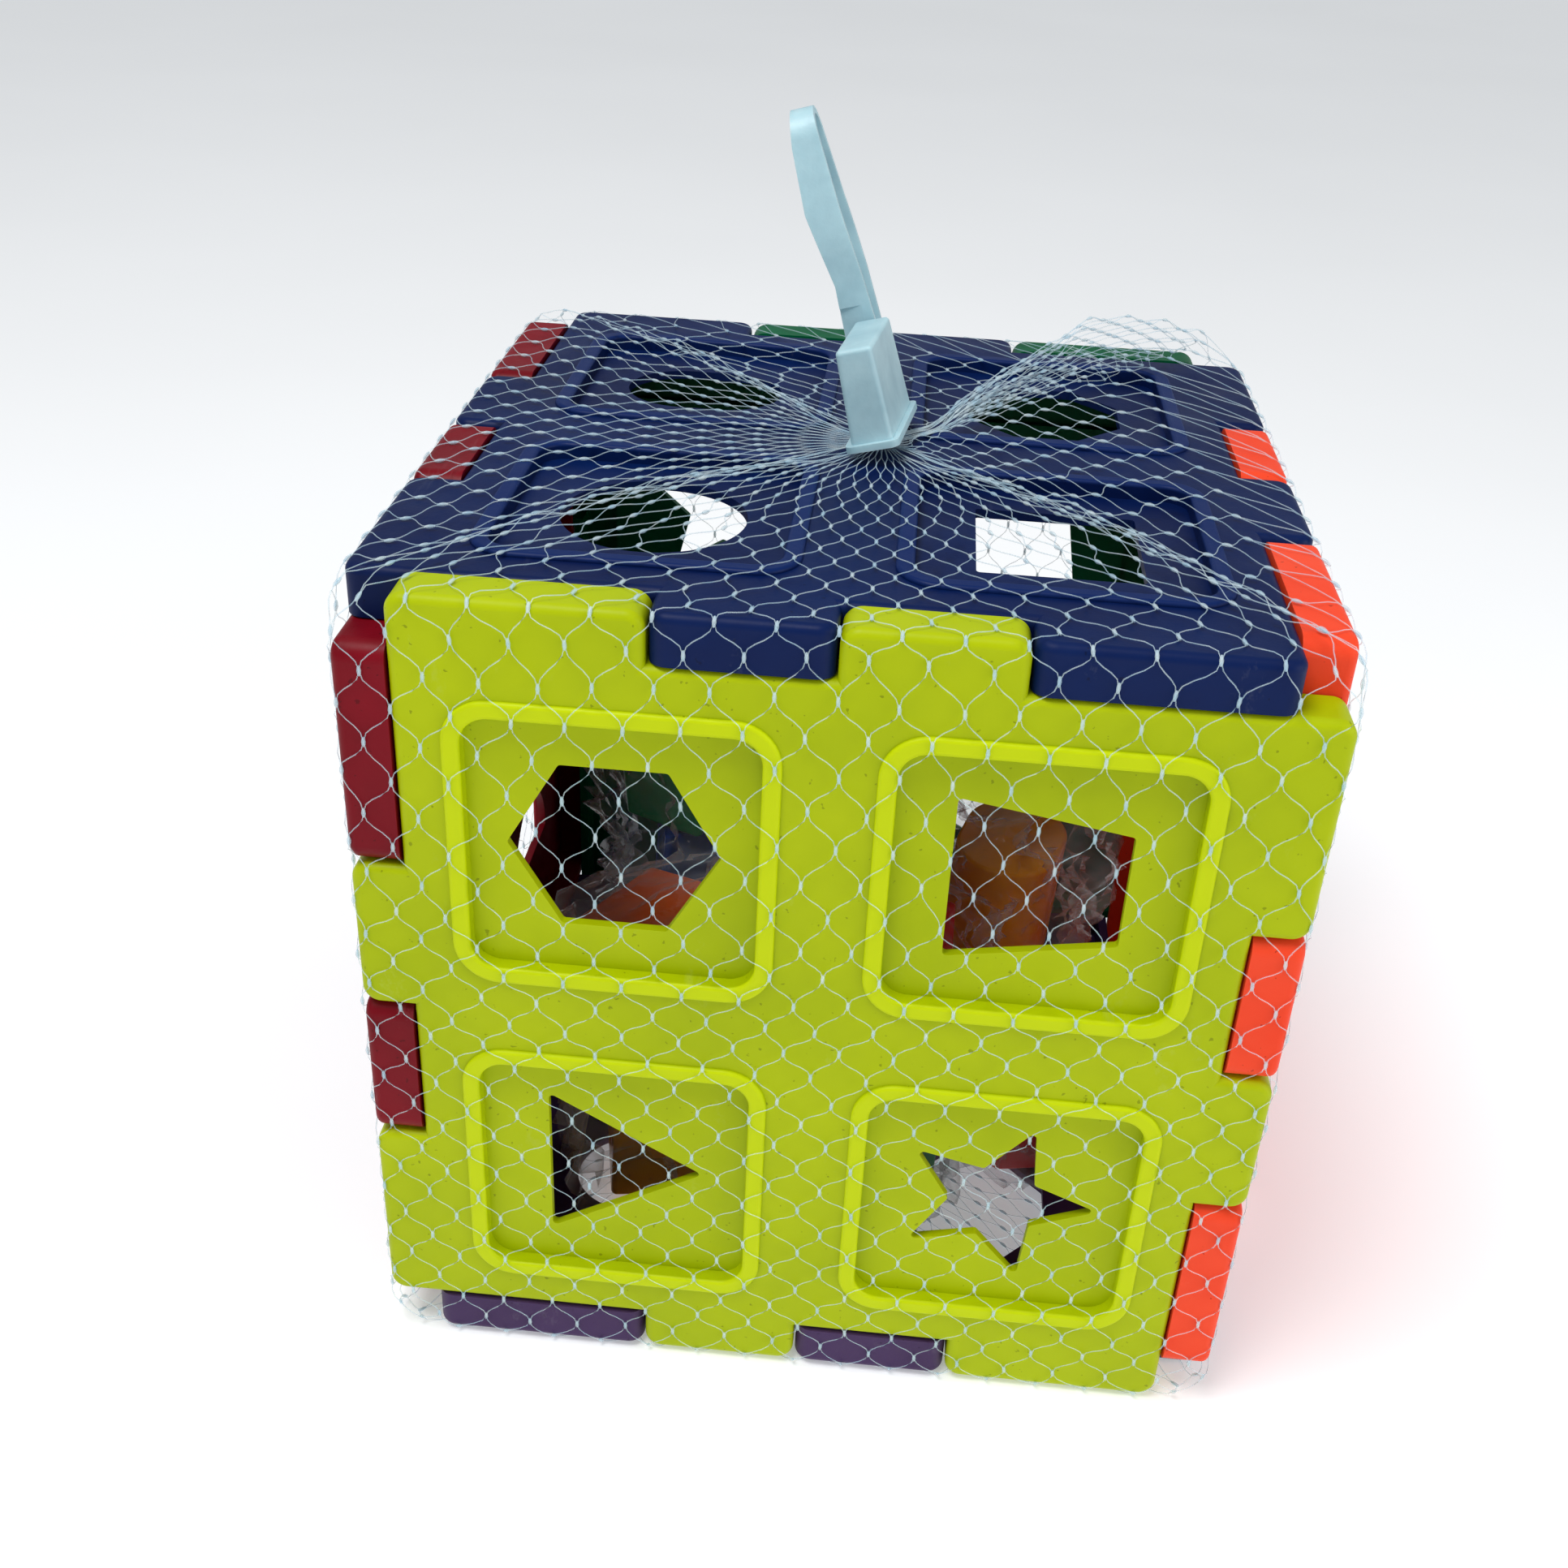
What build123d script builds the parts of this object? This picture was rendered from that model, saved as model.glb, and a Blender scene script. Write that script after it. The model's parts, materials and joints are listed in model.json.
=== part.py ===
"""A shape sorter cube in its retail net bag.

Six interlocking panels make a hollow cube.  Each panel has four framed pockets
with a shape hole in each.  Twelve blocks lie inside in a clear film bag, and the
whole cube is wrapped in a net that is gathered into a plastic clip with a strap.
Millimetres, +Z up, front is -Y, origin at the centre of the surface it stands on.
"""

import os
from build123d import *

# ---------------------------------------------------------------- driving sizes
CUBE = 150.0              # outer size of the cube over its panel faces
PANEL = 8.5               # depth of a panel, and so the length of its tabs
NARROW = 27.8             # width of a narrow tab or gap
WIDE = (CUBE - 2 * PANEL - 2 * NARROW) / 2
FIT = 0.15                # clearance left on each panel at a finger joint
SKIN = 2.0                # moulded wall of a panel
TAB_CORNER = 3.0          # rounding of a tab's outline corners
FACE_EDGE = 1.5           # rounding of a panel's outer edges

POCKET_AT = 33.0          # centre of a pocket from the panel's centre lines
RIDGE_SIDE = 51.8         # outside of the raised square round a pocket
RIDGE_BAND = 3.0
RIDGE_HIGH = 0.8
RIDGE_CORNER = 7.5
POCKET_DEEP = 2.1         # pocket floor below the panel's face
FLOOR = 1.6               # thickness of a pocket floor

BLOCK_PLAY = 0.6          # a block is this much smaller than its hole, all round
BLOCK_TALL = 28.0
BLOCK_EDGE = 0.8

FILM = 0.3
BAG_WIDE, BAG_DEEP, BAG_TALL = 116.0, 112.0, 95.0
BAG_CORNER = 14.0

NET = 0.3                 # thickness of the net's envelope
NET_GAP = 0.25            # between the envelope and the raised ridges
NET_CORNER = 2.4          # rounding of the envelope's corners
NECK_RADIUS = 2.2
NECK_TALL = 13.0
WELD_RADIUS = 5.0
WELD_THICK = 0.45

HEAD_BASE = (7.6, 20.8)   # clip head, width and depth at its lower end
HEAD_TOP = (6.4, 19.6)
HEAD_TALL = 17.5
HEAD_RIM = 1.0
HEAD_WALL = 1.3
HEAD_CAP = 3.0            # solid plastic over the head's bore
RIM_THICK = 1.2
SEAT_WIDE = 6.6
STRAP_THICK = 1.4
STRAP_TALL = 54.0
STRAP_SIDE = -1.6         # the strap's centre line is left of the head's
STRAP_TURN = 7.0          # the loop is turned back against the clip's turn
STRAP_FRONT = (           # edges of the strap seen from the front, right side first
    (2.6, 5), (2.3, 12), (1.3, 24), (-0.3, 37), (-1.3, 48), (-2.0, 56),
    (-5.6, 56), (-6.4, 48), (-6.5, 37), (-3.9, 24), (-4.1, 12), (-4.0, 5))
SEAT_OUT = 0.4            # flat seat of the strap on the back of the head
CLIP_AT = (2.8, 1.5)      # where the net is gathered, on the top face
CLIP_RISE = 2.4           # clip above the top ridges
CLIP_LEAN = -16.0
CLIP_TURN = -7.0

FACE_LOW = RIDGE_HIGH                 # the bottom panel stands on its ridges
MIDDLE = FACE_LOW + CUBE / 2          # height of the cube's centre
TOP_RIDGES = FACE_LOW + CUBE + RIDGE_HIGH
CORE = CUBE / 2 - PANEL               # half of the square inside the tabs


# ---------------------------------------------------------------- hole shapes
def closed(*points):
    return make_face(Polyline(*points, close=True))


def star(points, outer, inner):
    tips = []
    for step in range(2 * points):
        radius = outer if step % 2 == 0 else inner
        tips.append(Vector(radius, 0).rotate(Axis.Z, 90 + step * 180 / points))
    return closed(*tips)


# outlines with sharp corners; up is +Y
SHAPES = {
    "trapezoid": closed((-14.6, -13.6), (14.6, -13.6), (10.1, 13.6), (-10.1, 13.6)),
    "star": star(5, 17.8, 8.0),
    "hexagon": RegularPolygon(16.9, 6, rotation=30),
    "triangle": Pos(0, -2.7) * RegularPolygon(17.9, 3, rotation=90),
    "oval": SlotOverall(30.0, 22.4),
    "octagon": RegularPolygon(15.7, 8, rotation=22.5),
    "circle": Circle(15.4),
    "square": Rectangle(26.6, 26.6),
    "cross": Rectangle(29, 10) + Rectangle(10, 29),
    "pentagon": RegularPolygon(16.4, 5, rotation=90),
    "half_round": (Pos(0, -8) * Circle(16)) & (Pos(0, 2) * Rectangle(40, 20)),
    "diamond": closed((-11.5, 0), (0, -16.5), (11.5, 0), (0, 16.5)),
}
HOLE_CORNER = 0.7
BLOCK_CORNER = 1.2


def outline(name, play, corner):
    """Outline of a hole or, with some play taken off it, of its block."""
    shape = SHAPES[name]
    if play:
        shape = offset(shape, -play, kind=Kind.INTERSECTION)
    return shape if name in ("circle", "oval") else fillet(shape.vertices(), corner)


# shapes of a panel as seen from outside: upper left, upper right, lower left, lower right
SET_A = ("trapezoid", "star", "hexagon", "triangle")
SET_B = ("oval", "octagon", "circle", "square")
SET_C = ("cross", "pentagon", "half_round", "diamond")
CORNERS = ((-1, 1), (1, 1), (-1, -1), (1, -1))


# ---------------------------------------------------------------- panels
def panel_outline():
    """Square with tabs; each edge runs wide tab, gap, narrow tab, wide gap."""
    tip, floor = CUBE / 2, CORE - FIT
    side = [
        (-CORE + FIT, tip), (-CORE + WIDE - FIT, tip),
        (-CORE + WIDE - FIT, floor), (FIT, floor),
        (FIT, tip), (NARROW - FIT, tip),
        (NARROW - FIT, floor),
    ]
    points = []
    for quarter in range(4):
        for x, y in side:
            points.append(Vector(x, y).rotate(Axis.Z, -90 * quarter))
    return make_face(Polyline(*points, close=True))


def pocket_places(holes=None):
    for index, (across, along) in enumerate(CORNERS):
        place = Pos(across * POCKET_AT, along * POCKET_AT)
        yield (place, holes[index]) if holes else place


def square(side, corner):
    return RectangleRounded(side, side, corner)


def panel_blank():
    """One moulding, outer face at z = 0, open at the back; no shape holes yet."""
    outline = panel_outline()
    tips = [v for v in outline.vertices() if max(abs(v.X), abs(v.Y)) > CUBE / 2 - 0.01]
    outline = fillet(tips, TAB_CORNER)
    depth = PANEL - FIT
    body = Pos(0, 0, -depth) * extrude(outline, depth)
    face_edges = body.faces().sort_by(Axis.Z)[-1].outer_wire().edges()
    body = fillet(face_edges, FACE_EDGE)

    hollow = offset(outline, -SKIN, kind=Kind.INTERSECTION)
    hollow = Pos(0, 0, -depth) * extrude(hollow, depth - SKIN)
    pocket_low = POCKET_DEEP + FLOOR
    inner = RIDGE_SIDE - 2 * RIDGE_BAND
    inner_corner = RIDGE_CORNER - RIDGE_BAND
    for place in pocket_places():
        step = extrude(square(inner + 2 * FLOOR, inner_corner + FLOOR), pocket_low)
        hollow -= place * Pos(0, 0, -pocket_low) * step
    body -= hollow

    for place in pocket_places():
        band = square(RIDGE_SIDE, RIDGE_CORNER) - square(inner, inner_corner)
        ridge = Pos(0, 0, -0.5) * extrude(band, RIDGE_HIGH + 0.5)
        upper = ridge.faces().sort_by(Axis.Z)[-1].edges()
        ridge = fillet(upper, RIDGE_HIGH - 0.1)
        body += place * ridge
        pocket = extrude(square(inner, inner_corner), POCKET_DEEP + RIDGE_HIGH)
        body -= place * Pos(0, 0, -POCKET_DEEP) * pocket
    return body


def panel(blank, holes, turn=0):
    """Cut the four holes; turn is in degrees, seen from outside."""
    body = blank
    for place, name in pocket_places(holes):
        cutter = Pos(0, 0, -PANEL) * extrude(outline(name, 0, HOLE_CORNER), PANEL)
        body -= Rot(0, 0, turn) * place * cutter
    return body


def panels():
    blank = panel_blank()
    half = CUBE / 2
    middle = Pos(0, 0, MIDDLE)

    def wall(holes, around, turn=0):
        upright = Pos(0, -half, 0) * Rot(90, 0, 0)
        return middle * Rot(0, 0, around) * upright * panel(blank, holes, turn)

    return {
        "front_panel": wall(SET_A, 0, -90),
        "right_panel": wall(SET_C, 90),
        "back_panel": wall(SET_A, 180),
        "left_panel": wall(SET_C, -90),
        "top_panel": middle * Pos(0, 0, half) * panel(blank, SET_B),
        "bottom_panel": middle * Pos(0, 0, -half) * Rot(180, 0, 0) * panel(blank, SET_B),
    }


# ---------------------------------------------------------------- blocks and film bag
BAG_AT = (4.0, 3.0)                       # the bag lies a little off the middle
BAG_LOW = FACE_LOW + POCKET_DEEP + FLOOR + 0.3

# block, then its place from the bag's middle, height in the heap, and its three turns
HEAP = (
    ("square", -33, -32, 0, (4, 3, 12)),
    ("hexagon", 5, -33, 0, (-4, 2, 20)),
    ("octagon", 37, -14, 0, (3, -3, 8)),
    ("pentagon", -33, 6, 0, (2, 4, -14)),
    ("circle", 2, 4, 0, (0, 3, 0)),
    ("cross", 20, 35, 0, (2, -2, 25)),
    ("trapezoid", -36, -29, 1.03, (-3, 3, -16)),
    ("star", 8, -24, 1, (3, -2, 12)),
    ("oval", 31, 9, 1.03, (2, 3, 74)),
    ("triangle", -36, 13, 1, (-3, 3, 40)),
    ("diamond", -40, 8, 2.03, (5, -4, 28)),
    ("half_round", -4, -16, 2.06, (-4, 4, 8)),
)
LAYER = 29.4


def block(name):
    face = outline(name, BLOCK_PLAY, BLOCK_CORNER)
    body = Pos(0, 0, -BLOCK_TALL / 2) * extrude(face, BLOCK_TALL)
    ends = body.faces().sort_by(Axis.Z)
    return fillet(ends[0].edges() + ends[-1].edges(), BLOCK_EDGE)


def blocks():
    made = {}
    for name, x, y, layer, turns in HEAP:
        height = BAG_LOW + 2.2 + BLOCK_TALL / 2 + layer * LAYER
        place = Pos(BAG_AT[0] + x, BAG_AT[1] + y, height) * Rot(*turns)
        made[name + "_block"] = place * block(name)
    return made


def film_bag():
    """Closed envelope of the clear bag round the heap."""
    def envelope(shrink):
        low = extrude(RectangleRounded(BAG_WIDE - 2 * shrink, BAG_DEEP - 2 * shrink,
                                       BAG_CORNER - shrink), BAG_TALL - 2 * shrink)
        ends = low.faces().sort_by(Axis.Z)
        low = fillet(ends[-1].edges(), BAG_CORNER - 2 - shrink)
        return Pos(0, 0, shrink) * fillet(low.faces().sort_by(Axis.Z)[0].edges(), 2 - shrink)
    return Pos(*BAG_AT, BAG_LOW) * (envelope(0) - envelope(FILM))


# ---------------------------------------------------------------- net and its clip
CLIP_FRAME = (Pos(*CLIP_AT, TOP_RIDGES + CLIP_RISE)
              * Rot(0, 0, CLIP_TURN) * Rot(0, CLIP_LEAN, 0))


def net_bag():
    """Thin envelope of the net; under the cube it leaves the ridges free."""
    def envelope(half, low, high, corner):
        box = extrude(RectangleRounded(2 * half, 2 * half, corner), high - low)
        top = box.faces().sort_by(Axis.Z)[-1].edges()
        return Pos(0, 0, low) * fillet(top, corner - 0.5)
    inside = CUBE / 2 + RIDGE_HIGH + NET_GAP
    outside = inside + NET
    inside_top = TOP_RIDGES + NET_GAP
    under = FACE_LOW - NET_GAP - NET
    bag = envelope(outside, under, inside_top + NET, NET_CORNER)
    bag -= envelope(inside, under + NET, inside_top, NET_CORNER - NET)
    for place in pocket_places():
        hole = square(RIDGE_SIDE + 2 * NET_GAP, RIDGE_CORNER + NET_GAP)
        bag -= place * Pos(0, 0, -1) * extrude(hole, 1 + under + NET + 0.1)
    bag -= Pos(0, 0, under - 1) * extrude(Circle(WELD_RADIUS + 0.2), NET + 2)
    neck = CLIP_FRAME * Pos(0, 0, -CLIP_RISE - 0.6) * Cylinder(
        NECK_RADIUS, NECK_TALL, align=(Align.CENTER, Align.CENTER, Align.MIN))
    neck -= Pos(0, 0, inside_top - 20) * Box(
        40, 40, 20, align=(Align.CENTER, Align.CENTER, Align.MIN))
    return bag + neck


def net_weld():
    """Melted end of the net, flat under the middle of the cube."""
    weld = extrude(Circle(WELD_RADIUS), WELD_THICK)
    weld = fillet(weld.faces().sort_by(Axis.Z)[0].edges(), WELD_THICK / 3)
    return Pos(0, 0, FACE_LOW - NET_GAP - WELD_THICK) * weld


def clip_head():
    low = Rectangle(*HEAD_BASE)
    high = Pos(0, 0, HEAD_TALL) * Rectangle(*HEAD_TOP)
    head = loft([low.face(), high.face()])
    head = fillet(head.edges().filter_by(lambda e: e.length > 10 or e.center().Z > 1), 0.8)
    rim = extrude(RectangleRounded(HEAD_BASE[0] + 2 * HEAD_RIM,
                                   HEAD_BASE[1] + 2 * HEAD_RIM, 1.5), RIM_THICK)
    head += rim
    bore = extrude(RectangleRounded(HEAD_TOP[0] - 2 * HEAD_WALL,
                                    HEAD_TOP[1] - 2 * HEAD_WALL, 1.0),
                   HEAD_TALL - HEAD_CAP)
    bore += extrude(Circle(NECK_RADIUS + 0.3), HEAD_TALL - HEAD_CAP)
    seat = Pos(STRAP_SIDE, HEAD_BASE[1] / 2 - 3, 7.5) * Box(
        SEAT_WIDE, 3 + SEAT_OUT, 11, align=(Align.CENTER, Align.MIN, Align.CENTER))
    return CLIP_FRAME * (head + seat - bore)


def clip_strap():
    """Drop-shaped loop of flat strap on the seat behind the head, bent to the left."""
    seat = HEAD_BASE[1] / 2 + SEAT_OUT
    bends = ((0, 7, 1.0), (0, 33, 40), (3.2, STRAP_TALL, 5.0),
             (12.4, STRAP_TALL - 0.5, 5.5), (15.8, 34, 30),
             (9.5, 8, 5))             # out, up and the radius of each bend
    side = make_face(FilletPolyline(*[bend[:2] for bend in bends],
                                    radius=[bend[2] for bend in bends], close=True))
    blank = 12                        # half width of the loop before it is cut to shape
    loop = extrude(Plane.YZ * side, blank, both=True)
    loop -= extrude(Plane.YZ * offset(side, -STRAP_THICK), blank + 1, both=True)
    loop = loop & extrude(Plane.XZ * closed(*STRAP_FRONT), -STRAP_TALL)
    loop = Pos(STRAP_SIDE, seat, 0) * Rot(0, 0, STRAP_TURN) * loop
    loop -= Pos(0, seat, 0) * Box(30, 20, 20, align=(Align.CENTER, Align.MAX, Align.MIN))
    return CLIP_FRAME * loop


def main():
    os.makedirs("parts", exist_ok=True)
    nodes = {}
    nodes.update(panels())
    nodes.update(blocks())
    nodes["film_bag"] = film_bag()
    nodes["net_bag"] = net_bag()
    nodes["net_weld"] = net_weld()
    nodes["clip_head"] = clip_head()
    nodes["clip_strap"] = clip_strap()
    for name, shape in nodes.items():
        export_step(shape, f"parts/{name}.step")


main()
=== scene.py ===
import json

import bpy
import numpy as np
from mathutils import Matrix, Vector
from mathutils.bvhtree import BVHTree


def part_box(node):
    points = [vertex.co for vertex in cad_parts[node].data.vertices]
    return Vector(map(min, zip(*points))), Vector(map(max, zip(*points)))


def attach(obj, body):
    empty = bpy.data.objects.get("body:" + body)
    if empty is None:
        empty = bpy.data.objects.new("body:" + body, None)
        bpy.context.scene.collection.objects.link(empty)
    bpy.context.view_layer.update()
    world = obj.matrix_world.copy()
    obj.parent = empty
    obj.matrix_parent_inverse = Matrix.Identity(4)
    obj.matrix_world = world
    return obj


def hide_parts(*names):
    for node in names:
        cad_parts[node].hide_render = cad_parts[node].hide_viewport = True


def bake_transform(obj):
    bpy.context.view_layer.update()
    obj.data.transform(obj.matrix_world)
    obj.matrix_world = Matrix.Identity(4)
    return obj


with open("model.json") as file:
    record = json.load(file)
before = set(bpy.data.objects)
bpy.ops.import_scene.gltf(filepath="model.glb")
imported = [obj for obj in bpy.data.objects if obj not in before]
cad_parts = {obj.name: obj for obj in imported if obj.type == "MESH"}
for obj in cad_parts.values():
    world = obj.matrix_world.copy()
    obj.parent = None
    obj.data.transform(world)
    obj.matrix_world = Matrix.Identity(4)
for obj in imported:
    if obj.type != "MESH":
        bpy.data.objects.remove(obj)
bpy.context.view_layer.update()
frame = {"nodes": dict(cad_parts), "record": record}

# Lengths are millimetres in the geometry code and metres in Blender.
MM = 0.001
RNG = np.random.default_rng(11)
NODES = frame["nodes"]


def low_high(node):
    """Lowest and highest corner of a CAD node, in millimetres."""
    low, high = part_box(node)
    return np.array(low) / MM, np.array(high) / MM


# ---------------------------------------------------------------- materials
class Shade:
    """A node material with short calls for the nodes used here."""

    def __init__(self, name):
        self.material = bpy.data.materials.new(name)
        self.material.use_nodes = True
        self.tree = self.material.node_tree
        self.shader = self.tree.nodes["Principled BSDF"]
        self.place = self.add("ShaderNodeTexCoord").outputs["Object"]

    def add(self, kind, **values):
        node = self.tree.nodes.new(kind)
        for key, value in values.items():
            setattr(node, key, value)
        return node

    def link(self, start, end):
        self.tree.links.new(start, end)

    def set(self, **values):
        for key, value in values.items():
            name = key.replace("_", " ").title().replace("Ior", "IOR")
            self.shader.inputs[name].default_value = value

    def noise(self, per_metre, detail=3.0, rough=0.5, stretch=None):
        node = self.add("ShaderNodeTexNoise")
        node.inputs["Scale"].default_value = per_metre
        node.inputs["Detail"].default_value = detail
        node.inputs["Roughness"].default_value = rough
        place = self.place
        if stretch:
            mapping = self.add("ShaderNodeMapping")
            mapping.inputs["Scale"].default_value = stretch
            self.link(place, mapping.inputs["Vector"])
            place = mapping.outputs["Vector"]
        self.link(place, node.inputs["Vector"])
        return node.outputs["Fac"]

    def ramp(self, factor, *stops):
        node = self.add("ShaderNodeValToRGB")
        while len(node.color_ramp.elements) < len(stops):
            node.color_ramp.elements.new(0.5)
        for element, (at, colour) in zip(node.color_ramp.elements, stops):
            element.position = at
            element.color = (*colour, 1)
        self.link(factor, node.inputs["Fac"])
        return node.outputs["Color"]

    def range(self, factor, low, high, to_low, to_high):
        node = self.add("ShaderNodeMapRange")
        for key, value in zip(("From Min", "From Max", "To Min", "To Max"),
                              (low, high, to_low, to_high)):
            node.inputs[key].default_value = value
        self.link(factor, node.inputs["Value"])
        return node.outputs["Result"]

    def mix(self, factor, first, second):
        node = self.add("ShaderNodeMix", data_type="RGBA")
        self.link(factor, node.inputs["Factor"])
        for socket, value in ((node.inputs["A"], first), (node.inputs["B"], second)):
            if isinstance(value, tuple):
                socket.default_value = (*value, 1)
            else:
                self.link(value, socket)
        return node.outputs["Result"]

    def raised(self, axis, start, end):
        """1 beyond the plane end on that axis, 0 before the plane start, in metres."""
        node = self.add("ShaderNodeSeparateXYZ")
        self.link(self.place, node.inputs[0])
        return self.range(node.outputs[axis], start, end, 0, 1)

    def colour(self, value):
        self.link(value, self.shader.inputs["Base Color"])

    def bump(self, *heights):
        """Each height is (factor, distance in metres)."""
        normal = None
        for factor, distance in heights:
            node = self.add("ShaderNodeBump")
            node.inputs["Distance"].default_value = distance
            node.inputs["Strength"].default_value = 1.0
            self.link(factor, node.inputs["Height"])
            if normal:
                self.link(normal, node.inputs["Normal"])
            normal = node.outputs["Normal"]
        self.link(normal, self.shader.inputs["Normal"])


def scaled(colour, factor):
    return tuple(min(1.0, c * factor) for c in colour)


def moulded(name, colour, depth, roughness, glow, ridges=None):
    """Satin moulded plastic: cloudy pigment, fine grain, faint scuffs and a few specks.

    depth is the deeper colour of the pigment clouds, glow how much light scatters
    inside, and ridges the axis and the two planes over which a painted highlight fades in:
    beyond them the colour is paler, as if the raised ridges caught the light.
    """
    shade = Shade(name)
    clouds = shade.noise(28, 4, 0.6)
    base = shade.mix(shade.range(clouds, 0.35, 0.68, 0, 1), depth, colour)
    specks = shade.range(shade.noise(900, 2, 0.4), 0.735, 0.75, 0, 0.55)
    base = shade.mix(specks, base, scaled(depth, 0.35))
    scuffs = shade.range(shade.noise(95, 6, 0.75, (1.0, 0.12, 0.7)), 0.63, 0.72, 0, 0.22)
    pale = tuple(0.85 * c + 0.12 for c in colour)
    base = shade.mix(scuffs, base, pale)
    # painted highlight: the raised ridges are made paler, as if they caught the light
    if ridges:
        base = shade.mix(shade.raised(*ridges), base, scaled(colour, 1.22))
    shade.colour(base)
    rough = shade.range(shade.noise(60, 5, 0.65), 0.3, 0.7, roughness - 0.07, roughness + 0.12)
    shade.link(rough, shade.shader.inputs["Roughness"])
    shade.bump((shade.noise(1500, 2, 0.5), 0.00002), (shade.noise(45, 2, 0.5), 0.00018))
    shade.set(subsurface_weight=glow, subsurface_scale=0.003, ior=1.49,
              specular_ior_level=0.14)
    shade.shader.inputs["Subsurface Radius"].default_value = (1.0, 0.8, 0.4)
    return shade.material


def net_plastic(name, alpha):
    """Clear whitish monofilament."""
    shade = Shade(name)
    streaks = shade.noise(420, 2, 0.5)
    shade.colour(shade.ramp(streaks, (0.3, (0.55, 0.80, 0.95)), (0.7, (0.85, 0.97, 1.0))))
    shade.bump((shade.noise(2600, 2, 0.5), 0.00003))
    shade.set(roughness=0.25, alpha=alpha, ior=1.5, specular_ior_level=0.6)
    return shade.material


def film_plastic():
    """Thin clear film: it shows where it turns edge-on and in its sharp highlights."""
    shade = Shade("clear_film")
    facing = shade.add("ShaderNodeLayerWeight")
    facing.inputs["Blend"].default_value = 0.45
    alpha = shade.range(facing.outputs["Facing"], 0.1, 1.0, 0.06, 0.42)
    shade.link(alpha, shade.shader.inputs["Alpha"])
    haze = shade.noise(70, 4, 0.6)
    shade.colour(shade.ramp(haze, (0.3, (0.78, 0.80, 0.82)), (0.7, (0.97, 0.98, 1.0))))
    ridges = shade.add("ShaderNodeTexVoronoi", feature="DISTANCE_TO_EDGE")
    ridges.inputs["Scale"].default_value = 50
    shade.link(shade.place, ridges.inputs["Vector"])
    shade.bump((ridges.outputs["Distance"], 0.0012), (shade.noise(110, 3, 0.5), 0.0004))
    shade.set(roughness=0.08, ior=1.5, specular_ior_level=1.0)
    return shade.material


def clip_plastic():
    """Milky polyethylene, pale cyan, a little see-through."""
    shade = Shade("clip_plastic")
    milk = shade.noise(110, 3, 0.6)
    shade.colour(shade.ramp(milk, (0.3, (0.36, 0.56, 0.63)), (0.7, (0.50, 0.72, 0.78))))
    flow = shade.noise(160, 3, 0.5, (1.0, 1.0, 0.15))
    shade.bump((flow, 0.0002), (shade.noise(1800, 2, 0.5), 0.00003))
    shade.set(roughness=0.42, subsurface_weight=0.3, subsurface_scale=0.002, ior=1.5)
    shade.shader.inputs["Subsurface Radius"].default_value = (0.7, 1.0, 1.0)
    return shade.material


FACE = 0.0751              # just outside the wall panels' faces, in metres from the middle
TOP_FACE = 0.1509          # and just above the top panel's face
RIDGE_HIGHLIGHT_FADE = 0.0004        # metres over which the colour turns paler on a ridge, a painted highlight
PANEL_ROUGHNESS, BLOCK_ROUGHNESS = 0.42, 0.22
BLOCK_GLOW = 0.15
PANELS = {                 # name, colour, deeper colour, glow, and the axis and planes of the ridges' painted highlight
    "front_panel": ("lime", (0.47, 0.56, 0.0), (0.40, 0.49, 0.0), 0.08,
                    (1, -FACE, -FACE - RIDGE_HIGHLIGHT_FADE)),
    "back_panel": ("green", (0.0, 0.12, 0.045), (0.0, 0.085, 0.03), 0.05,
                   (1, FACE, FACE + RIDGE_HIGHLIGHT_FADE)),
    "left_panel": ("crimson", (0.22, 0.002, 0.010), (0.15, 0.001, 0.006), 0.04,
                   (0, -FACE, -FACE - RIDGE_HIGHLIGHT_FADE)),
    "right_panel": ("coral", (1.0, 0.085, 0.03), (0.92, 0.06, 0.018), 0.15,
                    (0, FACE, FACE + RIDGE_HIGHLIGHT_FADE)),
    "top_panel": ("navy", (0.001, 0.013, 0.085), (0.001, 0.008, 0.060), 0.0,
                  (2, TOP_FACE, TOP_FACE + RIDGE_HIGHLIGHT_FADE)),
    "bottom_panel": ("purple", (0.075, 0.038, 0.12), (0.055, 0.026, 0.09), 0.05,
                     (2, 0.0006, 0.0002)),
}
BLOCK_COLOURS = {
    "yellow_block_plastic": ((1.0, 0.42, 0.008), (0.95, 0.34, 0.0)),
    "orange_block_plastic": ((1.0, 0.15, 0.008), (0.9, 0.11, 0.0)),
    "red_block_plastic": ((0.72, 0.012, 0.018), (0.6, 0.006, 0.01)),
    "green_block_plastic": ((0.01, 0.36, 0.12), (0.0, 0.28, 0.08)),
    "blue_block_plastic": ((0.01, 0.08, 0.45), (0.0, 0.05, 0.34)),
    "purple_block_plastic": ((0.18, 0.035, 0.30), (0.13, 0.02, 0.22)),
}


def paint(node, material):
    for place in NODES[node].material_slots:
        place.material = material


def paint_cad(clip):
    """Colours of the panels, the blocks and the clip. Blocks of one colour share a material."""
    for node, (name, colour, depth, glow, ridges) in PANELS.items():
        paint(node, moulded(name + "_plastic", colour, depth, PANEL_ROUGHNESS, glow, ridges))
    made = {}
    for part in frame["record"]["subparts"]:
        slot = part["material_slot"]
        if slot in BLOCK_COLOURS:
            if slot not in made:
                made[slot] = moulded(slot, *BLOCK_COLOURS[slot], BLOCK_ROUGHNESS, BLOCK_GLOW)
            paint(part["node"], made[slot])
    paint("clip_head", clip)
    paint("clip_strap", clip)


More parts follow.
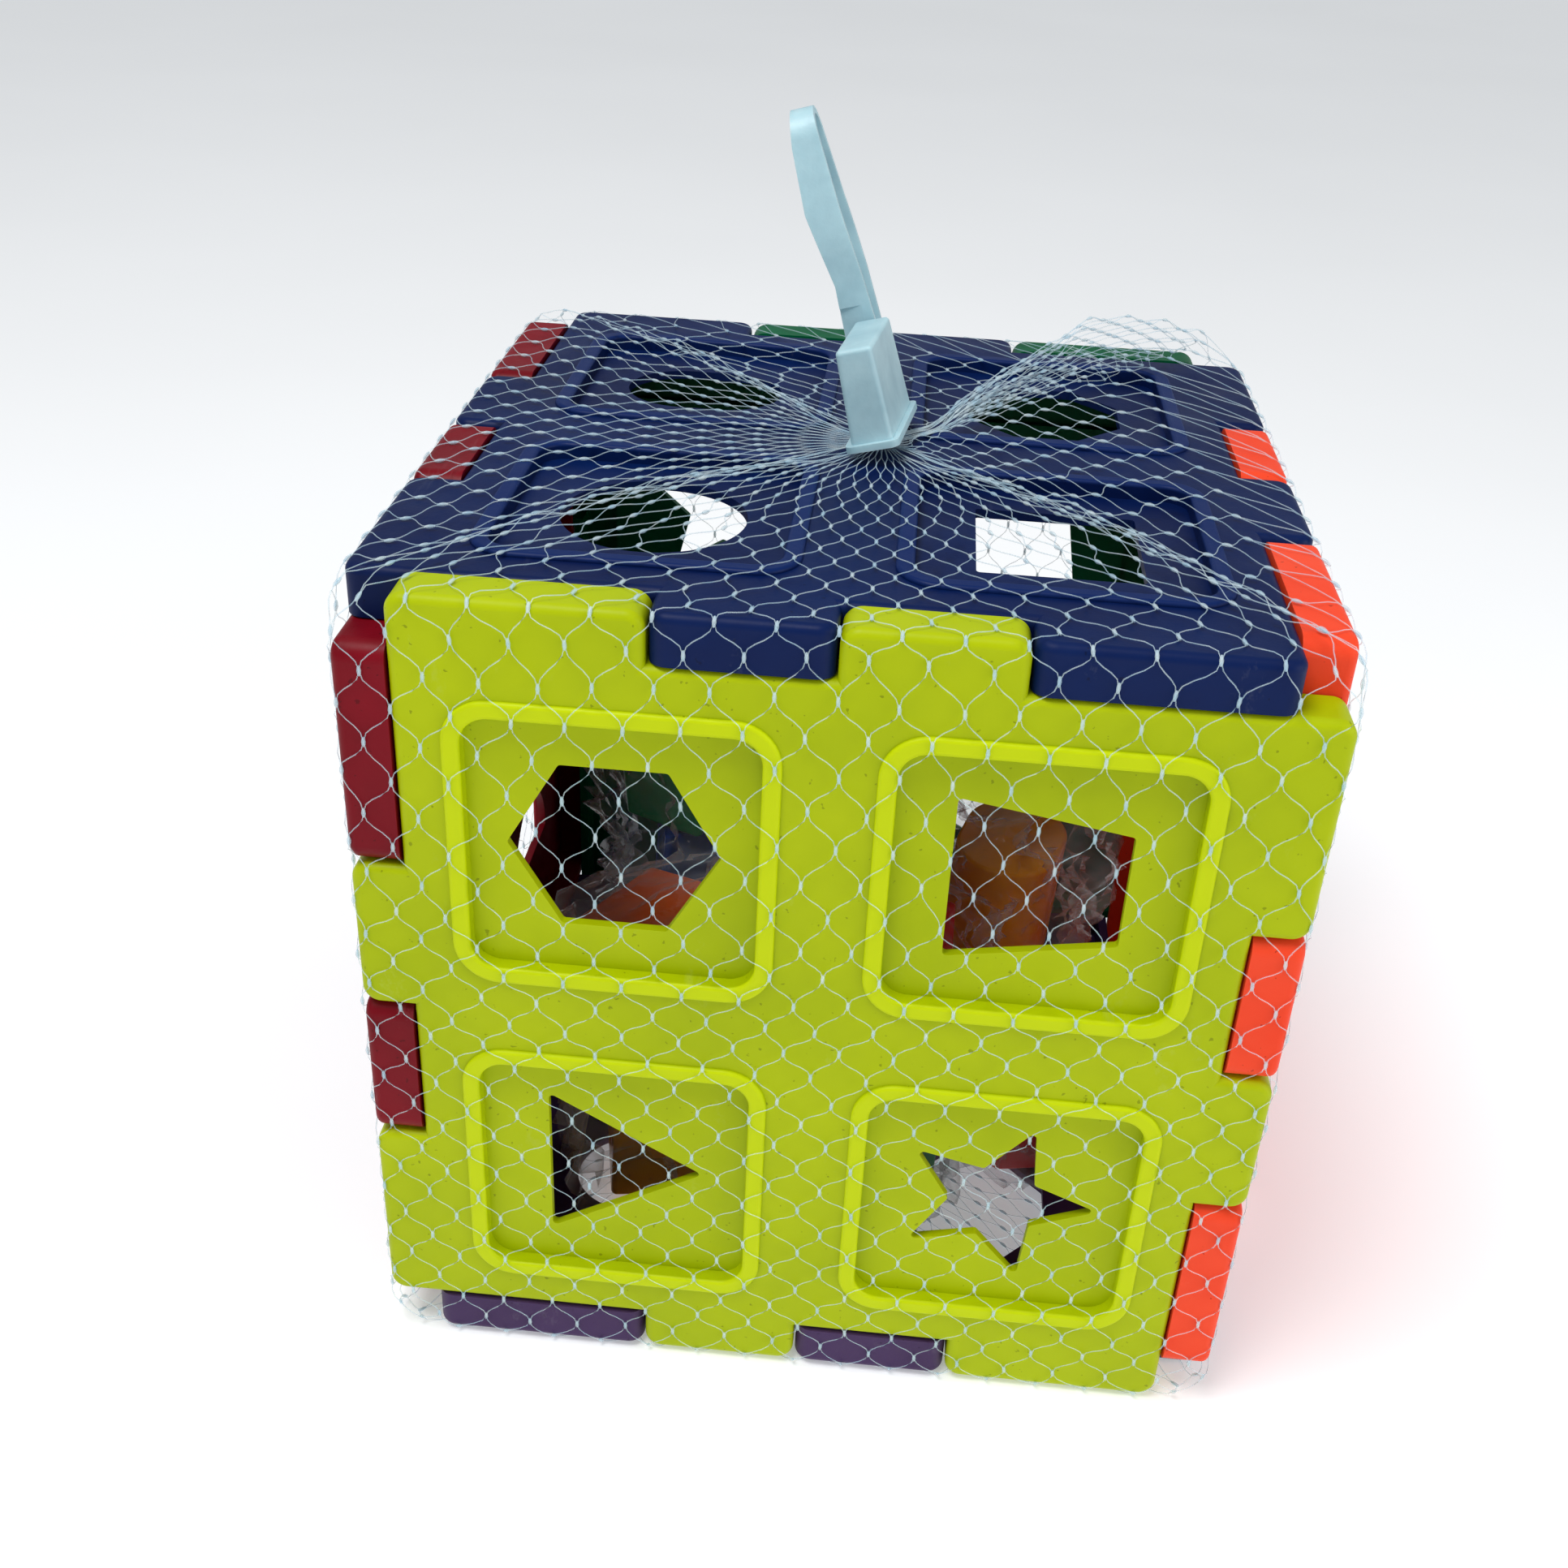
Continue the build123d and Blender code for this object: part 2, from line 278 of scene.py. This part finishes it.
# ---------------------------------------------------------------- mesh helper
def mesh_object(name, points, faces, material):
    """A smooth mesh from points in millimetres and faces with equal numbers of corners."""
    mesh = bpy.data.meshes.new(name)
    points = np.asarray(points, float) * MM
    faces = np.asarray(faces, np.int32)
    mesh.vertices.add(len(points))
    mesh.vertices.foreach_set("co", points.ravel())
    mesh.loops.add(faces.size)
    mesh.loops.foreach_set("vertex_index", faces.ravel())
    mesh.polygons.add(len(faces))
    mesh.polygons.foreach_set("loop_start", np.arange(0, faces.size, faces.shape[1]))
    mesh.polygons.foreach_set("loop_total", np.full(len(faces), faces.shape[1]))
    mesh.polygons.foreach_set("use_smooth", np.full(len(faces), True))
    mesh.update(calc_edges=True)
    mesh.validate()
    piece = bpy.data.objects.new(name, mesh)
    bpy.context.scene.collection.objects.link(piece)
    mesh.materials.append(material)
    return piece


# ---------------------------------------------------------------- net
COLUMNS = 68               # meshes round the cube
LEG = 7.6                  # thread from knot to knot
THREAD = 0.11              # radius of a thread
TOP_ROWS = 16
BASE_ROWS = 14
LEG_STEPS = 6
LEG_SIDES = 4
CLEAR = 0.28               # a thread's centre line off the plastic
TOP_CLEAR = 0.14           # and on top, where the clip presses the net down
OPEN_ABOVE = 84            # height on the walls where the meshes start to open up
OPEN_OVER = 30             # and the height that they take to do so
ROW_LOW = 4.9              # distance between rows of knots low on the walls
ROW_MORE = 1.35            # and what is added to it where the meshes are open
RELAX_TURNS = 260
SHORT_LEG = 0.72           # share of its length below which a slack leg is pushed open
HANDLE = 3.2               # longest handle of a leg's curve at its knots
FLOOR_CLEAR = 0.02         # least height of the net over the floor

_, panel_high = low_high("top_panel")
MIDDLE = panel_high[2] / 2
RIDGE = MIDDLE             # the cube's half size over its ridges
FACE_HALF = 75.0
RIDGE_REACH = 58.9         # the ridges' outer sides, from the middle of a face
EDGE_IN = 0.7              # the skin slopes to the faces' own level this far inside an edge
EDGE_CUT = 0.45            # how far in its flats across the edges and the corners pass
CORNER_CUT = 2.5
NET_LOW = 0.16             # height of the net under the cube
NET_TOP = panel_high[2] + TOP_CLEAR
NET_HALF = RIDGE + CLEAR
GATHER = np.array([2.8, 1.5, panel_high[2] + 0.3])
GATHER_RADIUS = 1.8
WELD_RADIUS = 4.6


def hull_planes():
    """The tight skin round the cube: unit normals, and distances from its middle."""
    normals, distances = [], []

    def plane(normal, through, off=CLEAR):
        normal = np.array(normal, float)
        normal /= np.linalg.norm(normal)
        normals.append(normal)
        distances.append(normal @ np.array(through, float) + off)

    slope = (RIDGE - FACE_HALF) / (FACE_HALF - EDGE_IN - RIDGE_REACH)
    for axis in range(3):
        for sign in (-1, 1):
            below, above = axis == 2 and sign < 0, axis == 2 and sign > 0
            out = np.eye(3)[axis] * sign
            off = 0 if below else TOP_CLEAR if above else CLEAR
            plane(out, out * (MIDDLE - NET_LOW if below else RIDGE), off)
            for other in (i for i in range(3) if i != axis):
                for way in (-1, 1):
                    along = np.eye(3)[other] * way
                    if not below:
                        plane(out + slope * along, out * RIDGE + along * RIDGE_REACH)
                    if other > axis:
                        plane(out + along, (out + along) * (FACE_HALF - EDGE_CUT))
    for corner in np.ndindex(2, 2, 2):
        normal = np.array(corner) * 2 - 1
        plane(normal, normal * (FACE_HALF - CORNER_CUT))
    return np.array(normals), np.array(distances)


NORMALS, DISTANCES = hull_planes()


def fit_skin(points, both=False):
    """Push points inside the tight skin out to it and, with both, pull the others in."""
    flat = points.reshape(-1, 3) - np.array([0, 0, MIDDLE])
    for _ in range(2 if both else 1):
        excess = flat @ NORMALS.T - DISTANCES
        worst = excess.argmax(1)
        depth = excess[np.arange(len(flat)), worst]
        if not both:
            depth = np.minimum(depth, 0)
        flat = flat - depth[:, None] * NORMALS[worst]
    return (flat + np.array([0, 0, MIDDLE])).reshape(points.shape)


def ring(u, half):
    """Points round a square; u counts turns from the middle of the front."""
    side = (np.asarray(u) % 1.0) * 4 + 0.5
    face = np.floor(side).astype(int) % 4
    along = ((side - np.floor(side)) * 2 - 1) * half
    x = np.choose(face, [along, half + 0 * along, -along, -half + 0 * along])
    y = np.choose(face, [-half + 0 * along, along, half + 0 * along, -along])
    return np.stack([x, y], -1)


def column_turns(row):
    """Where the knots of a row are, in turns; every other row is half a mesh on."""
    return (np.arange(COLUMNS) + 0.5 * (row % 2)) / COLUMNS


def wall_heights():
    """Rows of knots down the walls: open meshes above, slacker and shorter below."""
    heights = [NET_TOP - 0.2]
    while heights[-1] > NET_LOW + 3.0:
        share = np.clip((heights[-1] - OPEN_ABOVE) / OPEN_OVER, 0, 1)
        opening = ROW_MORE * share * share * (3 - 2 * share)
        heights.append(heights[-1] - (ROW_LOW + opening))
    heights = np.array(heights)
    span = heights[0] - heights[-1]
    return heights[0] - (heights[0] - heights) * (heights[0] - NET_LOW - 0.3) / span


def start_net():
    """Rows from the weld under the cube, up the walls and in to the gather on top."""
    rows = []
    for step in range(BASE_ROWS):
        edge = ring(column_turns(len(rows)), NET_HALF)
        middle = edge / np.linalg.norm(edge, axis=-1, keepdims=True) * WELD_RADIUS
        flat = middle + (edge - middle) * step / BASE_ROWS
        rows.append(np.column_stack([flat, np.full(COLUMNS, NET_LOW)]))
    first_wall = len(rows)
    for height in wall_heights()[::-1]:
        edge = ring(column_turns(len(rows)), NET_HALF)
        rows.append(np.column_stack([edge, np.full(COLUMNS, height)]))
    first_top = len(rows)
    for step in range(1, TOP_ROWS + 1):
        share = step / TOP_ROWS
        edge = ring(column_turns(len(rows)), NET_HALF)
        out = edge - GATHER[:2]
        middle = GATHER[:2] + out / np.linalg.norm(out, axis=-1, keepdims=True) * GATHER_RADIUS
        flat = edge + (middle - edge) * share
        rise = NET_TOP + (GATHER[2] - NET_TOP) * share ** 30
        rows.append(np.column_stack([flat, np.full(COLUMNS, rise)]))
    return np.array(rows), first_wall, first_top


def leg_pairs(rows):
    """Indices of the two knots that each leg joins."""
    pairs = []
    index = np.arange(rows * COLUMNS).reshape(rows, COLUMNS)
    for row in range(rows - 1):
        side = -1 if row % 2 == 0 else 1
        pairs.append(np.column_stack([index[row], index[row + 1]]))
        pairs.append(np.column_stack([index[row], np.roll(index[row + 1], -side)]))
    return np.concatenate(pairs)


def relax_top(net, first_top, pairs):
    """Pull the top rows tight between the upper edges and the gather."""
    flat = net.reshape(-1, 3)
    row = np.arange(len(flat)) // COLUMNS
    loose = ((row >= first_top) & (row < len(net) - 1)).astype(float)[:, None]
    active = pairs[row[pairs[:, 0]] >= first_top - 1]
    first, second = active.T
    count = np.bincount(active.ravel(), minlength=len(flat))
    count = np.maximum(count, 1)[:, None]
    for _ in range(RELAX_TURNS):
        gap = flat[second] - flat[first]
        length = np.linalg.norm(gap, axis=1, keepdims=True)
        wanted = np.clip(length, SHORT_LEG * LEG, LEG)
        strength = np.where(length > LEG, 0.95, 0.12)
        push = gap / np.maximum(length, 1e-6) * (length - wanted) * strength
        move = np.zeros_like(flat)
        np.add.at(move, first, push)
        np.add.at(move, second, -push)
        flat = flat + loose * move / count * 1.1
        tight = fit_skin(flat, both=True)
        hug = np.where((tight - flat)[:, 2:] < 0, 0.12, 1.0) * (row < len(net) - 4)[:, None]
        flat = fit_skin(flat + loose * hug * (tight - flat))
    return flat.reshape(net.shape)


PLEAT_START = 0.14         # where a fold starts, as a share of the way to its corner
PLEATS = (       # which corner, columns taken up, height, where it is highest, lean
    ((-1, -1), 2.6, 3.2, 0.35, 0.0),
    ((1, -1), 3.0, 3.8, 0.40, 0.2),
    ((-1, 1), 2.6, 3.4, 0.45, -0.2),
    ((1, 1), 11.0, 13.0, 0.50, 0.30),
)


def pleat(net, first_top, corner, taken, height, crest, lean):
    """Stand the spare columns that run to one corner up in a fold."""
    corner = np.array(corner) * NET_HALF
    line = corner - GATHER[:2]
    reach = np.linalg.norm(line)
    line /= reach
    side = np.array([-line[1], line[0]])
    angle = np.arctan2(corner[1], corner[0]) / (2 * np.pi) + 0.25
    for row in range(first_top, len(net) - 1):
        knots_here = net[row]
        number = (column_turns(row) - angle + 0.5) % 1.0 * COLUMNS - COLUMNS / 2
        away = knots_here[:, :2] - GATHER[:2]
        out, lateral = away @ line, away @ side
        near = np.abs(number) < COLUMNS / 4
        share = np.clip(out / reach, 0, 1)
        width = taken * (1 - share) ** 0.75 + 0.02
        start = np.clip((share - PLEAT_START) / (1 - PLEAT_START), 0, 1)
        after = np.clip((share - crest) / (1 - crest), 0, 1)
        rise = height * np.where(share < crest, np.clip(start / crest, 0, 1) ** 0.7,
                                 (1 - after ** 1.8) ** 0.9)
        order = np.argsort(number)
        foot = np.interp(width, number[order], np.abs(lateral[order]))
        inside = near & (np.abs(number) < width)
        up = np.clip(1 - np.abs(number) / width, 0, 1)
        lift = np.where(inside, rise * up ** 0.8, 0)
        ripple = 0.7 * np.sin(9 * share + 1.7 * number)
        folded = np.sign(number) * (0.5 + 1.2 * (1 - up)) + lean * lift + ripple * up
        fade = np.clip((np.abs(number) - width) / 6, 0, 1)
        pulled = lateral - np.sign(number) * np.maximum(foot - 1.7, 0) * (1 - fade) ** 2
        wanted = np.where(inside, folded, np.where(near, pulled, lateral))
        blend = np.clip(share / 0.05, 0, 1)
        net[row, :, :2] += ((wanted - lateral) * blend)[:, None] * side
        net[row, :, 2] += lift
    return net


def loosen(net, first_wall, first_top):
    """Small unevenness of a slack net on the walls."""
    wave = np.arange(COLUMNS) / COLUMNS * 2 * np.pi
    for row in range(first_wall + 1, first_top - 1):
        drift = 0.9 * np.sin(3 * wave + row * 0.23) + 0.7 * np.sin(7 * wave - row * 0.31)
        drift += RNG.normal(0, 0.28, COLUMNS)
        drop = 0.8 * np.sin(5 * wave + row * 0.19) + RNG.normal(0, 0.3, COLUMNS)
        net[row, :, :2] = ring(column_turns(row) + drift / (8 * NET_HALF), NET_HALF)
        net[row, :, 2] += drop
    return net


def run_direction(net):
    """Unit direction in which the net runs through each knot, from the weld to the gather."""
    rows = len(net)
    middle = np.empty_like(net)
    for row in range(rows):
        side = -1 if row % 2 == 0 else 1
        after = net[min(row + 1, rows - 1)]
        before = net[max(row - 1, 0)]
        above = (after + np.roll(after, -side, 0)) / 2 if row < rows - 1 else net[row]
        below = (before + np.roll(before, -side, 0)) / 2 if row > 0 else net[row]
        middle[row] = above - below
    return middle / np.maximum(np.linalg.norm(middle, axis=-1, keepdims=True), 1e-6)


def tubes(paths, radius, sides):
    """Vertices and quads of open tubes; paths is (tubes, points, 3)."""
    along = np.gradient(paths, axis=1)
    along /= np.maximum(np.linalg.norm(along, axis=-1, keepdims=True), 1e-9)
    helper = np.where(np.abs(along[..., 2:]) < 0.8, [[[0.0, 0.0, 1.0]]], [[[0.6, 0.8, 0.0]]])
    first = np.cross(along, helper)
    first /= np.maximum(np.linalg.norm(first, axis=-1, keepdims=True), 1e-9)
    second = np.cross(along, first)
    angle = np.arange(sides) * 2 * np.pi / sides
    turn = (first[:, :, None] * np.cos(angle)[:, None]
            + second[:, :, None] * np.sin(angle)[:, None])
    points = paths[:, :, None] + turn * radius
    count, steps = paths.shape[:2]
    index = np.arange(count * steps * sides).reshape(count, steps, sides)
    around = np.roll(index, -1, 2)
    quads = np.stack([index[:, :-1], around[:, :-1], around[:, 1:], index[:, 1:]], -1)
    return points.reshape(-1, 3), quads.reshape(-1, 4)


def leg_paths(net, direction, pairs):
    """Each leg leaves its knots along the run of the net, so it makes a soft S."""
    flat, run = net.reshape(-1, 3), direction.reshape(-1, 3)
    start, end = flat[pairs[:, 0]], flat[pairs[:, 1]]
    chord = np.linalg.norm(end - start, axis=1, keepdims=True)
    handle = np.minimum(0.42 * chord, HANDLE)
    share = np.linspace(0, 1, LEG_STEPS)[None, :, None]
    p0, p3 = start[:, None], end[:, None]
    p1 = p0 + (run[pairs[:, 0]] * handle)[:, None]
    p2 = p3 - (run[pairs[:, 1]] * handle)[:, None]
    rest = 1 - share
    path = (rest ** 3 * p0 + 3 * rest ** 2 * share * p1
            + 3 * rest * share ** 2 * p2 + share ** 3 * p3)
    return fit_skin(path)


def knots(places, direction):
    """Twisted joints of two threads: short spindles along the run of the net.

    They are pulled thin where the net is gathered under the clip.
    """
    stations = np.array([-0.85, -0.45, 0.0, 0.45, 0.85])
    widths = np.array([0.15, 0.30, 0.36, 0.30, 0.15])
    paths = places[:, None] + direction[:, None] * stations[None, :, None]
    points, quads = tubes(paths, 1.0, 5)
    points = points.reshape(len(places), len(stations), 5, 3)
    centre = paths[:, :, None]
    thin = np.clip(np.linalg.norm(places - GATHER, axis=1) / 22, 0.3, 1) ** 2
    points = centre + (points - centre) * widths[None, :, None, None] * thin[:, None, None, None]
    return points.reshape(-1, 3), quads


def make_net(thread, knot):
    """The whole net, as one piece for each quarter of its columns."""
    net, first_wall, first_top = start_net()
    pairs = leg_pairs(len(net))
    net = loosen(net, first_wall, first_top)
    net[first_wall:first_top] = fit_skin(net[first_wall:first_top], both=True)
    net = relax_top(net, first_top, pairs)
    for values in PLEATS:
        net = pleat(net, first_top, *values)
    net = fit_skin(net)
    direction = run_direction(net)
    paths = leg_paths(net, direction, pairs)
    flat, run = net.reshape(-1, 3), direction.reshape(-1, 3)
    knot_row, column = np.divmod(np.arange(len(flat)), COLUMNS)
    quarter = column * 4 // COLUMNS
    for index, name in enumerate(("front_right", "back_right", "back_left", "front_left")):
        legs = quarter[pairs[:, 0]] == index
        tied = (quarter == index) & (knot_row > 0) & (knot_row < len(net) - 1)
        leg_points, leg_quads = tubes(paths[legs], THREAD, LEG_SIDES)
        knot_points, knot_quads = knots(flat[tied], run[tied])
        points = np.concatenate([leg_points, knot_points])
        points[:, 2] = np.maximum(points[:, 2], FLOOR_CLEAR)
        quads = np.concatenate([leg_quads, knot_quads + len(leg_points)])
        piece = mesh_object("net_" + name, points, quads, thread)
        piece.data.materials.append(knot)
        which = np.zeros(len(piece.data.polygons), np.int32)
        which[len(leg_quads):] = 1
        piece.data.polygons.foreach_set("material_index", which)
        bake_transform(piece)
    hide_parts("net_bag")


# ---------------------------------------------------------------- film bag
FILM_STEPS = (96, 240)     # rings from the mouth to the bottom, and points round each
MOUTH = 27.0               # degrees from straight up to the bag's open mouth
RIM = 22.0                 # degrees below the mouth over which the ruffles fade
RUFFLES = 13
RUFFLE_OUT = 9.0
CAST_FROM = 140.0          # rays at the heap start this far from its middle
FILM_OFF = 0.7             # tight film off the blocks, and the least after creasing
FILM_LEAST = 0.35
LEAST_REACH = 20           # tight film is at least this far from the heap's middle
STRETCH_TURNS = 90
CREASES = ((1.6, 10.5), (3.2, 4.0))       # how close together, and how tall


def heap_tree():
    """The blocks as one tree to cast rays at, in millimetres."""
    points, faces = [], []
    for name, node in NODES.items():
        if name.endswith("_block"):
            first = len(points)
            points += [v.co / MM for v in node.data.vertices]
            faces += [[first + i for i in p.vertices] for p in node.data.polygons]
    return BVHTree.FromPolygons(points, faces)


def creases(points):
    """Sharp ridges of crumpled film, 0 to 1, from crossing folded waves."""
    total = np.zeros(points.shape[:-1])
    for _ in range(9):
        wave = RNG.normal(size=3)
        wave *= 2 * np.pi / RNG.uniform(26, 70) / np.linalg.norm(wave)
        total += (1 - np.abs(np.sin(points @ wave + RNG.uniform(0, 6)))) ** 3
    return np.clip(total / 3.2, 0, 1)


def heap_reach(centre, way):
    """How far the blocks reach from the middle of the heap in each direction."""
    tree = heap_tree()
    reach = np.zeros(way.shape[:2])
    for index in np.ndindex(*reach.shape):
        toward = Vector(-way[index])
        found = tree.ray_cast(Vector(centre) - toward * CAST_FROM, toward, CAST_FROM)
        reach[index] = CAST_FROM - found[3] if found[0] else 0
    return reach


def stretched(reach):
    """Film pulled tight over the heap, so it bridges the hollows between the blocks."""
    tight = np.maximum(reach + FILM_OFF, LEAST_REACH)
    for _ in range(STRETCH_TURNS):
        smooth = (np.roll(tight, 1, 1) + np.roll(tight, -1, 1)) / 2
        smooth[1:-1] = (smooth[1:-1] + (tight[2:] + tight[:-2]) / 2) / 2
        tight = np.maximum(reach + FILM_OFF, smooth)
    return tight


def ruffle(points, way, down, turn, top):
    """Fold the rim of the bag in and out, and bring it up to the height of the mouth."""
    rim = np.clip((np.radians(MOUTH + RIM) - down) / np.radians(RIM), 0, 1) ** 1.5
    wave = np.sin(RUFFLES * turn + 0.8 * np.sin(3 * turn))
    points[..., :2] += way[..., :2] / np.sin(down)[..., None] * (RUFFLE_OUT * rim * wave)[..., None]
    crown = top - 0.2 - 2.2 * (1 + np.cos(RUFFLES * turn * 2 + 1)) / 2
    points[..., 2] += (np.maximum(crown, points[..., 2]) - points[..., 2]) * rim


def make_film(material):
    """Clear bag pulled round the heap of blocks: a crumpled skin with a ruffled open mouth."""
    low, high = low_high("film_bag")
    centre = (low + high) / 2
    rings, steps = FILM_STEPS
    down = np.radians(np.linspace(MOUTH, 179.6, rings))[:, None]
    turn = (np.arange(steps) * 2 * np.pi / steps)[None, :]
    way = np.stack([np.sin(down) * np.cos(turn), np.sin(down) * np.sin(turn),
                    np.cos(down) + 0 * turn], -1)
    reach = heap_reach(centre, way)
    tight = stretched(reach)
    half = (high - low) / 2 - 0.3
    limit = np.min(half / np.maximum(np.abs(way), 1e-6), -1)
    skin = centre + way * tight[..., None]
    spread = tight
    for closeness, tall in CREASES:
        spread = spread + tall * creases(skin * closeness)
    spread = np.minimum(spread, limit)
    spread = np.maximum(spread, np.minimum(reach + FILM_LEAST, limit + 0.25))
    points = centre + way * spread[..., None]
    ruffle(points, way, down, turn, high[2])
    index = np.arange(rings * steps).reshape(rings, steps)
    around = np.roll(index, -1, 1)
    quads = np.stack([index[:-1], index[1:], around[1:], around[:-1]], -1).reshape(-1, 4)
    film = mesh_object("film", points.reshape(-1, 3), quads, material)
    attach(film, "block_bag")
    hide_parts("film_bag")


# ---------------------------------------------------------------- studio
def area_light(name, place, target, size, watts):
    data = bpy.data.lights.new(name, "AREA")
    data.shape, data.size, data.energy = "DISK", size, watts
    light = bpy.data.objects.new(name, data)
    bpy.context.scene.collection.objects.link(light)
    light.location = place
    aim = Vector(target) - Vector(place)
    light.rotation_euler = aim.to_track_quat("-Z", "Y").to_euler()


def studio():
    """A pale floor that glows a little, an even sky, and two soft lights."""
    bpy.ops.mesh.primitive_plane_add(size=40, location=(0, 0, 0))
    floor = bpy.context.object
    floor.name = "floor"
    shade = Shade("floor")
    shade.colour(shade.ramp(shade.noise(3), (0.3, (0.86, 0.86, 0.86)), (0.7, (0.9, 0.9, 0.9))))
    shade.set(roughness=0.9, emission_strength=0.30)
    shade.shader.inputs["Emission Color"].default_value = (0.95, 0.97, 1.0, 1)
    floor.data.materials.append(shade.material)
    world = bpy.data.worlds.new("studio")
    bpy.context.scene.world = world
    world.use_nodes = True
    sky = world.node_tree.nodes["Background"]
    sky.inputs["Color"].default_value = (0.93, 0.97, 1.0, 1)
    sky.inputs["Strength"].default_value = 0.42
    aim = (0, 0, 0.08)
    area_light("key", (-0.25, -0.30, 1.0), aim, 0.45, 6.0)
    area_light("fill", (0.85, -0.35, 0.40), aim, 0.6, 2.6)


def camera():
    """The view from a little above, with the lens and tilt of a hand-held phone."""
    edge = 0.15                # the eye is given in edges of the cube
    stands_at = 0.0008         # the cube's faces start at the height of the bottom ridges
    data = bpy.data.cameras.new("camera")
    data.sensor_width = 36.0
    data.lens = 40.17
    data.clip_start, data.clip_end = 0.01, 20
    eye = Vector((0.0512, -1.9976, 1.7139)) * edge
    eye.z += stands_at
    look = Vector((-0.05535, 0.85867, -0.50953)).normalized()
    right = Vector((0.99512, 0.08919, 0.04220))
    right = (right - look * right.dot(look)).normalized()
    up = right.cross(look)
    turn = Matrix((right, up, -look)).transposed().to_4x4()
    view = bpy.data.objects.new("camera", data)
    bpy.context.scene.collection.objects.link(view)
    view.matrix_world = Matrix.Translation(eye) @ turn
    bpy.context.scene.camera = view


clip = clip_plastic()
paint_cad(clip)
thread = net_plastic("net_thread", 0.28)
knot = net_plastic("net_knot", 0.42)
paint("net_weld", knot)
make_net(thread, knot)
make_film(film_plastic())
studio()
camera()
bpy.context.scene.view_settings.view_transform = "Standard"
